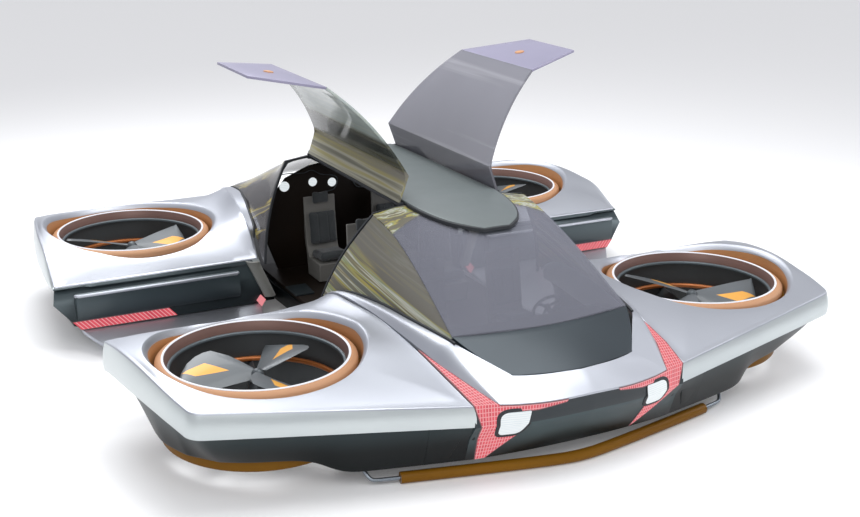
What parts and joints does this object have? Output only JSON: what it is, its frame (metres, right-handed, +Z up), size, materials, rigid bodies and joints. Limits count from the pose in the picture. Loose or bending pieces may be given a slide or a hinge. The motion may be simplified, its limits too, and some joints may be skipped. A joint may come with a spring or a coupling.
{
  "type": "ducted-fan hover car",
  "caption": "Ducted-fan hover car on bent tube skids, with a glazed cabin, roof-hinged doors standing open, and turning rotors.",
  "frame": {"origin": "on the ground under the middle of the car's bounding box", "axes": "+Z up, -Y towards the nose, +X towards the car's left side"},
  "size_m": [8.73, 8.6721, 3.696],
  "materials": {
    "silver": "satin metallic paint",
    "hull": "dark slate satin paint",
    "orange": "burnt orange satin paint",
    "blade": "slate composite with orange patches",
    "stator": "grey satin paint",
    "glass": "tinted, polished",
    "door_panel": "pale lilac gloss paint",
    "roof": "matte grey-green",
    "slate": "dark slate satin paint",
    "red_light": "lit pink-red lattice",
    "lamp": "lit white lens",
    "skid": "brown-orange satin paint",
    "steel": "brushed",
    "trim": "matte black, grained",
    "brown": "matte brown",
    "seat": "dark woven upholstery"
  },
  "bodies": {
    "root": {"bonnet": "silver", "bulkhead": "brown", "cabin_floor": "brown", "cowl": "slate", "dashboard": "trim", "door_frame_left": "trim", "door_frame_right": "trim", "duct_front_left": "orange", "duct_front_right": "orange", "duct_rear_left": "orange", "duct_rear_right": "orange", "headlamp_left": "lamp", "headlamp_right": "lamp", "hull_front_left": "hull", "hull_front_right": "hull", "hull_keel": "hull", "hull_rear_left": "hull", "hull_rear_right": "hull", "light_strip_left": "red_light", "light_strip_right": "red_light", "nose": "slate", "pod_front_left": "silver", "pod_front_right": "silver", "pod_rear_left": "silver", "pod_rear_right": "silver", "quarter_glass_left": "glass", "quarter_glass_right": "glass", "rear_face_left": "hull", "rear_face_right": "hull", "rear_glass": "glass", "roof_spine": "roof", "seats_front": "seat", "seats_middle": "seat", "seats_rear": "seat", "shoulder_left": "silver", "shoulder_right": "silver", "side_deck_left": "silver", "side_deck_right": "silver", "skid_front": "skid", "skid_rear": "skid", "stator_front_left": "stator", "stator_front_right": "stator", "stator_rear_left": "stator", "stator_rear_right": "stator", "windscreen": "glass"},
    "door_left": {"door_glass_left": "glass", "door_hinge_left": "trim", "door_lower_left": "door_panel"},
    "door_right": {"door_glass_right": "glass", "door_hinge_right": "trim", "door_lower_right": "door_panel"},
    "steering": {"steering_wheel": "trim"},
    "rotor_front_left_body": {"rotor_front_left": "blade"},
    "rotor_front_right_body": {"rotor_front_right": "blade"},
    "rotor_rear_left_body": {"rotor_rear_left": "blade"},
    "rotor_rear_right_body": {"rotor_rear_right": "blade"}
  },
  "joints": [
    {"name": "door_left_hinge", "type": "hinge", "parent": "root", "child": "door_left", "pos_m": [0.663, 0.3179, 2.155], "axis": [0, 1, 0], "range_deg": [0, 117]},
    {"name": "door_right_hinge", "type": "hinge", "parent": "root", "child": "door_right", "pos_m": [-0.663, 0.3179, 2.155], "axis": [0, -1, 0], "range_deg": [0, 117]},
    {"name": "steering_turn", "type": "hinge", "parent": "root", "child": "steering", "pos_m": [0.52, -2.5755, 1.1525], "axis": [0, 0.8661, 0.5], "range_deg": [-135, 135]},
    {"name": "rotor_front_left_spin", "type": "hinge", "parent": "root", "child": "rotor_front_left_body", "pos_m": [2.909, -2.2261, 0.78], "axis": [0, 0, 1], "continuous": true},
    {"name": "rotor_front_right_spin", "type": "hinge", "parent": "root", "child": "rotor_front_right_body", "pos_m": [-2.909, -2.2261, 0.78], "axis": [0, 0, 1], "continuous": true},
    {"name": "rotor_rear_left_spin", "type": "hinge", "parent": "root", "child": "rotor_rear_left_body", "pos_m": [2.933, 2.9349, 0.78], "axis": [0, 0, 1], "continuous": true},
    {"name": "rotor_rear_right_spin", "type": "hinge", "parent": "root", "child": "rotor_rear_right_body", "pos_m": [-2.933, 2.9349, 0.78], "axis": [0, 0, 1], "continuous": true}
  ]
}
